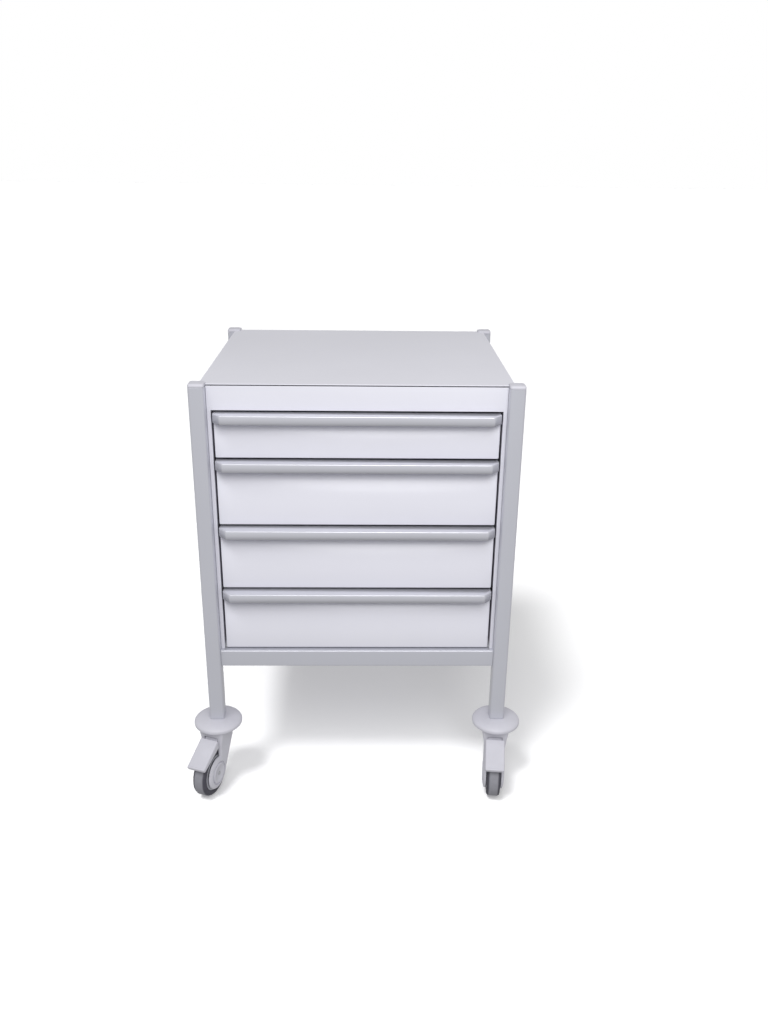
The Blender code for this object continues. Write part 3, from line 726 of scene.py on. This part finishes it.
def build_wheel(corner, place):
    trail, height = wheel_trail(corner)
    hub = place @ Matrix.Translation((0.0, -trail, height))
    half = WHEEL_HALF
    tyre = rounded_profile(
        (
            (0.0380, -half + 0.0008, 0.0006),
            (0.0420, -half, 0.0015),
            (0.0474, -half + 0.0006, 0.0024),
            (0.0500, -half + 0.0052, 0.0040),
            (0.0500, half - 0.0052, 0.0040),
            (0.0474, half - 0.0006, 0.0024),
            (0.0420, half, 0.0015),
            (0.0380, half - 0.0008, 0.0006),
        ),
        5,
    )
    mesh = turned("tread_" + corner, tyre, 144, "X")
    body = "wheel_" + corner
    add_piece("tread_" + corner, mesh, RUBBER, body, ("tyre_" + corner,), hub)

    core = rounded_profile(
        (
            (0.0377, -CORE_HALF, 0.0006),
            (0.0320, -CORE_HALF, 0.0012),
            (0.0300, -WEB_HALF, 0.0030),
            (0.0120, -WEB_HALF, 0.0030),
            (0.0110, -HUB_HALF, 0.0008),
            (AXLE_BORE, -HUB_HALF, 0.0003),
            (AXLE_BORE, HUB_HALF, 0.0003),
            (0.0110, HUB_HALF, 0.0008),
            (0.0120, WEB_HALF, 0.0030),
            (0.0300, WEB_HALF, 0.0030),
            (0.0320, CORE_HALF, 0.0012),
            (0.0377, CORE_HALF, 0.0006),
        )
    )
    disc = turned("core_disc", core, 96, "X")
    spokes = []
    for i in range(SPOKES):
        spoke = to_mesh("spoke", box_bmesh((-0.0100, -0.0012, 0.0110), (0.0100, 0.0012, 0.0312)))
        spoke.transform(Matrix.Rotation(2 * math.pi * (i + 0.5) / SPOKES, 4, "X"))
        spokes.append(spoke)
    mesh = combine("hub_" + corner, disc, spokes)
    nodes = ("wheel_core_" + corner,)
    add_piece("hub_" + corner, mesh, CORE_PLASTIC, body, nodes, hub)

    end = LEG_OUT - GAP
    ease = 0.0006
    pin = rounded_profile(
        (
            (AXIS_RADIUS, -end, 0),
            (AXLE_RADIUS, -end, ease),
            (AXLE_RADIUS, end, ease),
            (AXIS_RADIUS, end, 0),
        )
    )
    mesh = turned("pin_" + corner, pin, 48, "X")
    add_piece("pin_" + corner, mesh, ZINC, "caster_" + corner, ("axle_" + corner,), hub)


def leg_outline(trail, height, inset):
    """A leg's side view as (forward, height), drawn in by an inset: a round foot under a taper."""
    radius = LEG_RADIUS - inset
    front = FORK_FRONT - inset * 0.4
    rear = Vector((-FORK_REAR + inset, HEEL))
    away = rear - Vector((trail, height))
    start = math.degrees(math.acos((front - trail) / radius))
    end = math.degrees(math.atan2(away.y, away.x) + math.acos(radius / away.length)) - 360
    around = arc((trail, height), radius, start, end, 40)
    top = CROWN_LOW + 0.006
    return [(rear.x, top), (front, top), *around, tuple(rear)]


def leg_mesh(trail, height, sign):
    """A cup-shaped leg cover: flat inside and domed outside."""
    depth = LEG_OUT - LEG_IN
    stations = [(LEG_IN, 0.0008), (LEG_IN + 0.0006, 0.0), (LEG_IN + 0.0014, 0.0)]
    steps = 7
    for i in range(1, steps + 1):
        angle = math.radians(90 * i / steps)
        out = LEG_IN + 0.0014 + (depth - 0.0024) * math.sin(angle)
        stations.append((out, 0.0125 * (1 - math.cos(angle))))
    rings = []
    for out, inset in stations:
        outline = leg_outline(trail, height, inset)
        rings.append([(sign * out, -forward, up) for forward, up in outline])
    return loft("leg", rings, smooth_angle=60)


def boss_mesh(trail, height, sign):
    """The round hub cover on a leg, with a shallow dish around the axle."""
    low = LEG_IN + 0.003
    high = LEG_OUT
    profile = rounded_profile(
        (
            (AXIS_RADIUS, high - 0.0016, 0),
            (0.0150, high - 0.0016, 0.0010),
            (0.0172, high, 0.0010),
            (0.0206, high, 0.0016),
            (0.0222, low, 0),
            (AXIS_RADIUS, low, 0),
        )
    )
    mesh = turned("boss", profile, 72, "X")
    mesh.transform(Matrix.Diagonal((sign, 1, 1, 1)))
    mesh.transform(Matrix.Translation((0, -trail, height)))
    if sign < 0:
        mesh.flip_normals()
    return mesh


def groove_mesh(trail, height, sign):
    """What is cut away around the hub cover."""
    low = sign * (LEG_OUT - 0.0034)
    high = sign * (LEG_OUT + 0.0050)
    profile = ((0.0220, low), (0.0250, low), (0.0262, high), (0.0220, high))
    mesh = turned("groove", profile, 72, "X")
    mesh.transform(Matrix.Translation((0, -trail, height)))
    return mesh


def crown_ring(height, half, rear, front):
    rear_round = FORK_CORNER
    front_round = 0.0045
    points = arc((half - rear_round, rear - rear_round), rear_round, 0, 90, 12)
    points += arc((rear_round - half, rear - rear_round), rear_round, 90, 180, 12)
    points += arc((front_round - half, front_round - front), front_round, 180, 270, 6)
    points += arc((half - front_round, front_round - front), front_round, 270, 360, 6)
    return [(x, y, height) for x, y in points]


def crown_mesh():
    """The head that joins the legs, with shoulders that swell towards its top."""
    ease = 0.0014
    soft = 0.0004
    rings = [
        crown_ring(0.1000, 0.0226, FORK_REAR - 0.0050, FORK_FRONT - 0.0004),
        crown_ring(HEEL, 0.0231, FORK_REAR - 0.0010, FORK_FRONT),
        crown_ring(0.1170, 0.0243, FORK_REAR, FORK_FRONT),
        crown_ring(CROWN_LOW, 0.0260, FORK_REAR, FORK_FRONT),
        crown_ring(0.1330, 0.0272, FORK_REAR, FORK_FRONT),
        crown_ring(0.1380, FORK_HALF, FORK_REAR, FORK_FRONT),
        crown_ring(CROWN_TOP - ease, FORK_HALF, FORK_REAR, FORK_FRONT),
        crown_ring(CROWN_TOP - soft, FORK_HALF - soft, FORK_REAR - soft, FORK_FRONT - soft),
        crown_ring(CROWN_TOP, FORK_HALF - ease, FORK_REAR - ease, FORK_FRONT - ease),
    ]
    return loft("crown", rings, smooth_angle=50)


def build_fork(corner, place):
    trail, height = wheel_trail(corner)
    legs = [leg_mesh(trail, height, sign) for sign in SIDES.values()]
    bosses = [boss_mesh(trail, height, sign) for sign in SIDES.values()]
    slot = to_mesh("slot", box_bmesh((-LEG_IN, -0.06, 0.09), (LEG_IN, 0.06, CROWN_LOW)))
    bore = ((AXIS_RADIUS, 0.12), (NECK_BORE, 0.12), (NECK_BORE, 0.15), (AXIS_RADIUS, 0.15))
    neck = turned("neck", bore, 48)
    axle = rod("axle", AXLE_BORE, 0.03, 48)
    axle.transform(Matrix.Translation((0, -trail, height)))
    grooves = [groove_mesh(trail, height, sign) for sign in SIDES.values()]
    crown = combine("crown", crown_mesh(), cut=(slot, neck))
    arms = combine("arms", crown, legs, grooves)
    mesh = combine("yoke_" + corner, arms, bosses, (axle,), 40)
    body = "caster_" + corner
    nodes = ("fork_" + corner,)
    add_piece("yoke_" + corner, mesh, GREY_PLASTIC, body, nodes, place)


def pedal_shell():
    """The folded plate: a flat top, a turned-down tip, and side skirts that deepen to the rear."""
    points = (
        (0.0100, PEDAL_RISE),
        (PEDAL_END, PEDAL_RISE),
        (PEDAL_END, 0.0050),
        (0.0146, -0.0050),
    )
    bm = bmesh.new()
    sides = []
    for x in (-PEDAL_HALF, PEDAL_HALF):
        sides.append([bm.verts.new((x, -forward, up)) for forward, up in points])
        bm.faces.new(sides[-1])
    left, right = sides
    bm.faces.new((left[0], left[1], right[1], right[0]))
    bm.faces.new((left[1], left[2], right[2], right[1]))
    bmesh.ops.recalc_face_normals(bm, faces=bm.faces)
    if max(bm.faces, key=lambda face: face.normal.z * face.calc_area()).normal.z < 0.9:
        bmesh.ops.reverse_faces(bm, faces=bm.faces)
    source = bpy.data.objects.new("plate", to_mesh("plate", bm))
    bpy.context.scene.collection.objects.link(source)
    add_sheet(source, PEDAL_SHEET, PEDAL_FOLD, 6)
    depsgraph = bpy.context.evaluated_depsgraph_get()
    shell = bpy.data.meshes.new_from_object(source.evaluated_get(depsgraph))
    bpy.data.objects.remove(source, do_unlink=True)
    return shell


def build_pedal(corner, place):
    """The brake pedal: a folded plate with a rolled tip on a hinge barrel."""
    joint = JOINTS["brake_pedal_" + corner]
    pivot = place.inverted() @ Vector(joint["pos_m"])
    slope = Matrix.Rotation(PEDAL_SLOPE, 4, "X")
    ease = TIP_BEAD * 0.8
    half = PEDAL_HALF - 0.0008
    roll = rounded_profile(
        (
            (AXIS_RADIUS, -half, 0),
            (TIP_BEAD, -half, ease),
            (TIP_BEAD, half, ease),
            (AXIS_RADIUS, half, 0),
        )
    )
    tip = turned("tip", roll, 24, "X")
    tip.transform(Matrix.Translation((0, -PEDAL_END + TIP_BEAD, PEDAL_RISE - TIP_BEAD + TIP_RISE)))
    arm = box_bmesh((-0.0141, -0.0180, -0.0020), (0.0141, -0.0030, 0.0030))
    web = box_bmesh((-0.0138, -0.0179, 0.0), (0.0138, -0.0130, PEDAL_RISE - 0.0012))
    barrel = rod("barrel", BARREL_RADIUS, BARREL_HALF, 40)
    pin = rod("pin", PIN_RADIUS, PEDAL_HALF, 32)
    extra = [tip, to_mesh("arm", arm), to_mesh("web", web), barrel, pin]
    mesh = combine("treadle_" + corner, pedal_shell(), extra, (), 40)
    mesh.transform(place @ Matrix.Translation(pivot) @ slope)
    body = "brake_" + corner
    add_piece("treadle_" + corner, mesh, GREY_PLASTIC, body, ("pedal_" + corner,))


def build_casters():
    for corner in CORNERS:
        place = caster_place(corner)
        build_disc(corner)
        build_wheel(corner, place)
        dress("stem_" + corner, ZINC, 0.0003, 2)
        build_fork(corner, place)
        if corner in BRAKED:
            build_pedal(corner, place)


# ---------------------------------------------------------------- studio


def build_camera():
    data = bpy.data.cameras.new("camera")
    data.lens = CAMERA_LENS
    data.sensor_width = 36.0
    data.clip_end = 100.0
    camera = bpy.data.objects.new("camera", data)
    bpy.context.scene.collection.objects.link(camera)
    turn = Matrix((CAMERA_RIGHT, CAMERA_UP, CAMERA_BACK)).transposed().to_4x4()
    camera.matrix_world = Matrix.Translation(CAMERA_PLACE) @ turn
    bpy.context.scene.camera = camera
    bpy.context.scene.view_settings.view_transform = "Standard"


def build_floor():
    nodes = Nodes("floor_paper")
    cloud = nodes.noise(1.5, 2.0)
    nodes.wire(Base_Color=nodes.ramp(cloud, (0.93, 0.93, 0.935), (0.95, 0.95, 0.955)))
    nodes.set(Roughness=0.7, Emission_Color=(1.0, 1.0, 1.0, 1.0), Emission_Strength=FLOOR_GLOW)
    bm = bmesh.new()
    bmesh.ops.create_grid(bm, x_segments=2, y_segments=2, size=30.0)
    floor = bpy.data.objects.new("floor", finish_mesh("floor", bm))
    floor.data.materials.append(nodes.material)
    bpy.context.scene.collection.objects.link(floor)
    floor.visible_diffuse = False
    floor.visible_glossy = False
    return floor


def add_light(name, data, place, towards):
    """A light that shines away from the direction given."""
    light = bpy.data.objects.new(name, data)
    light.location = place
    light.rotation_euler = Vector(towards).to_track_quat("Z", "Y").to_euler()
    bpy.context.scene.collection.objects.link(light)
    return light


def add_sun(name, strength, softness, height):
    """A soft light from the front left, at a height above the horizon."""
    data = bpy.data.lights.new(name, "SUN")
    data.energy = strength
    data.angle = softness
    side = math.cos(height)
    towards = (-side * math.sin(KEY_SIDE), -side * math.cos(KEY_SIDE), math.sin(height))
    return add_light(name, data, (0, 0, 0), towards)


def build_lights(floor):
    """Dim light all round, a soft key, a high softbox in front, and a key for the floor only."""
    world = bpy.data.worlds.new("studio")
    world.use_nodes = True
    tree = world.node_tree
    background = tree.nodes["Background"]
    background.inputs["Color"].default_value = (1.0, 1.0, 1.0, 1.0)
    path = tree.nodes.new("ShaderNodeLightPath")
    level = tree.nodes.new("ShaderNodeMapRange")
    level.inputs["To Min"].default_value = AMBIENT
    level.inputs["To Max"].default_value = 1.0
    tree.links.new(path.outputs["Is Camera Ray"], level.inputs["Value"])
    tree.links.new(level.outputs["Result"], background.inputs["Strength"])
    bpy.context.scene.world = world

    add_sun("key", KEY_STRENGTH, KEY_SOFTNESS, KEY_HEIGHT)
    floor_key = add_sun("floor_key", FLOOR_KEY_STRENGTH, FLOOR_KEY_SOFTNESS, FLOOR_KEY_HEIGHT)
    lit = bpy.data.collections.new("floor_only")
    lit.objects.link(floor)
    floor_key.light_linking.receiver_collection = lit

    data = bpy.data.lights.new("softbox", "AREA")
    data.shape = "DISK"
    data.size = BOX_SIZE
    data.energy = BOX_POWER
    add_light("softbox", data, BOX_PLACE, Vector(BOX_PLACE) - Vector(BOX_TARGET))


build_camera()
build_lights(build_floor())
build_posts()
build_caps()
build_rails()
build_worktop()
build_casing()
build_rivets()
build_drawers()
build_casters()
